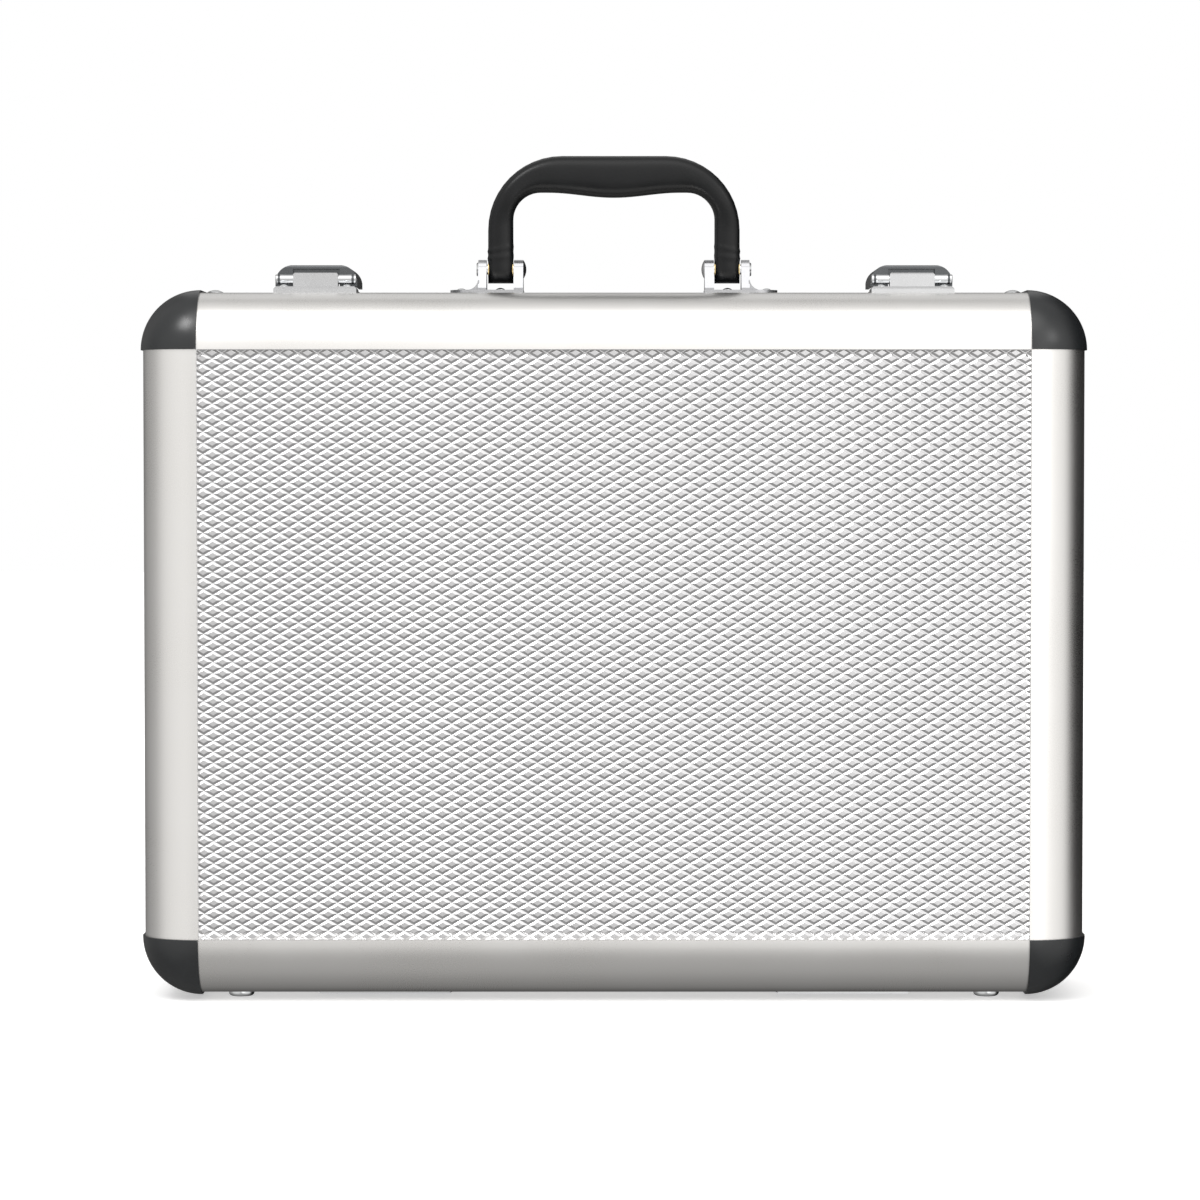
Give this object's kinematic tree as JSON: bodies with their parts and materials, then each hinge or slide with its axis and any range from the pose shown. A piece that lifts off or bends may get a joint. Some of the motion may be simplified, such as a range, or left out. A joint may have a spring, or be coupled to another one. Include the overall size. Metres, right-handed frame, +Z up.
{
  "type": "aluminium attache case",
  "caption": "Slim hard-sided attache case with aluminium rails, diamond-embossed panels, dark corner caps, carrying handle, hinged lid and lever latches.",
  "frame": {"origin": "on the floor, under the middle of the closed case standing on its feet", "axes": "+Z up towards the handle, -Y towards the lid, +Y towards the base, +X to the right of someone facing the lid"},
  "size_m": [0.46, 0.1274, 0.4128],
  "materials": {
    "embossed_panel": "satin",
    "anodised_frame": "satin",
    "corner_plastic": "gloss",
    "grip_plastic": "matte",
    "dark_foam": "matte",
    "lining_cloth": "matte",
    "lever_grey": "satin",
    "satin_fitting": "satin",
    "bright_fitting": "gloss",
    "brass_bush": "satin"
  },
  "bodies": {
    "base": {"base_panel": "embossed_panel", "base_rail_top": "anodised_frame", "base_rail_bottom": "anodised_frame", "base_rail_left": "anodised_frame", "base_rail_right": "anodised_frame", "base_cap_top_left": "corner_plastic", "base_cap_top_right": "corner_plastic", "base_cap_bottom_left": "corner_plastic", "base_cap_bottom_right": "corner_plastic", "base_cap_rivets": "bright_fitting", "base_flush_rivets": "bright_fitting", "base_feet": "bright_fitting", "base_foam_pad": "dark_foam", "base_lining": "lining_cloth", "base_fitting_rivets": "bright_fitting", "handle_bracket_left": "satin_fitting", "handle_bracket_right": "satin_fitting", "handle_pins": "bright_fitting", "keeper_left": "satin_fitting", "keeper_right": "satin_fitting", "hinge_leaf_base_left": "bright_fitting", "hinge_leaf_base_right": "bright_fitting", "hinge_pins": "bright_fitting", "stay_plate_base_left": "bright_fitting", "stay_plate_base_right": "bright_fitting"},
    "lid": {"lid_panel": "embossed_panel", "lid_rail_top": "anodised_frame", "lid_rail_bottom": "anodised_frame", "lid_rail_left": "anodised_frame", "lid_rail_right": "anodised_frame", "lid_cap_top_left": "corner_plastic", "lid_cap_top_right": "corner_plastic", "lid_cap_bottom_left": "corner_plastic", "lid_cap_bottom_right": "corner_plastic", "lid_cap_rivets": "bright_fitting", "lid_flush_rivets": "bright_fitting", "lid_feet": "bright_fitting", "lid_foam": "dark_foam", "lid_lining": "lining_cloth", "lid_fitting_rivets": "bright_fitting", "latch_plate_left": "satin_fitting", "latch_plate_right": "satin_fitting", "hinge_leaf_lid_left": "bright_fitting", "hinge_leaf_lid_right": "bright_fitting", "stay_plate_lid_left": "bright_fitting", "stay_plate_lid_right": "bright_fitting"},
    "handle": {"handle_grip": "grip_plastic", "handle_bushes": "brass_bush"},
    "lever_left": {"latch_lever_left": "lever_grey", "latch_crossbar_left": "bright_fitting"},
    "lock_left": {"lock_plug_left": "bright_fitting"},
    "base_stay_left": {"stay_link_base_left": "bright_fitting"},
    "lid_stay_left": {"stay_link_lid_left": "bright_fitting"},
    "lever_right": {"latch_lever_right": "lever_grey", "latch_crossbar_right": "bright_fitting"},
    "lock_right": {"lock_plug_right": "bright_fitting"},
    "base_stay_right": {"stay_link_base_right": "bright_fitting"},
    "lid_stay_right": {"stay_link_lid_right": "bright_fitting"}
  },
  "joints": [
    {"name": "lid_hinge", "type": "hinge", "parent": "base", "child": "lid", "pos_m": [0, -0.0125, 0.002], "axis": [1, 0, 0], "range_deg": [0, 95]},
    {"name": "handle_hinge", "type": "hinge", "parent": "base", "child": "handle", "pos_m": [0, 0.0075, 0.3569], "axis": [1, 0, 0], "range_deg": [-85, 85]},
    {"name": "latch_left_hinge", "type": "hinge", "parent": "lid", "child": "lever_left", "pos_m": [-0.1454, -0.0245, 0.3509], "axis": [1, 0, 0], "range_deg": [0, 110]},
    {"name": "lock_left_turn", "type": "hinge", "parent": "lever_left", "child": "lock_left", "pos_m": [-0.1454, 0.012, 0.3509], "axis": [0, 0, 1], "range_deg": [0, 90]},
    {"name": "base_stay_left_pivot", "type": "hinge", "parent": "base", "child": "base_stay_left", "pos_m": [-0.221, 0.0135, 0.04703], "axis": [1, 0, 0], "range_deg": [0, 95]},
    {"name": "lid_stay_left_pivot", "type": "hinge", "parent": "lid", "child": "lid_stay_left", "pos_m": [-0.221, -0.0385, 0.04703], "axis": [1, 0, 0], "range_deg": [-95, 0]},
    {"name": "latch_right_hinge", "type": "hinge", "parent": "lid", "child": "lever_right", "pos_m": [0.1454, -0.0245, 0.3509], "axis": [1, 0, 0], "range_deg": [0, 110]},
    {"name": "lock_right_turn", "type": "hinge", "parent": "lever_right", "child": "lock_right", "pos_m": [0.1454, 0.012, 0.3509], "axis": [0, 0, 1], "range_deg": [0, 90]},
    {"name": "base_stay_right_pivot", "type": "hinge", "parent": "base", "child": "base_stay_right", "pos_m": [0.221, 0.0135, 0.04703], "axis": [1, 0, 0], "range_deg": [0, 95]},
    {"name": "lid_stay_right_pivot", "type": "hinge", "parent": "lid", "child": "lid_stay_right", "pos_m": [0.221, -0.0385, 0.04703], "axis": [1, 0, 0], "range_deg": [-95, 0]}
  ],
  "couplings": [
    {"joint": "base_stay_left_pivot", "follows": "lid_hinge", "ratio": 1},
    {"joint": "lid_stay_left_pivot", "follows": "lid_hinge", "ratio": -1},
    {"joint": "base_stay_right_pivot", "follows": "lid_hinge", "ratio": 1},
    {"joint": "lid_stay_right_pivot", "follows": "lid_hinge", "ratio": -1}
  ]
}
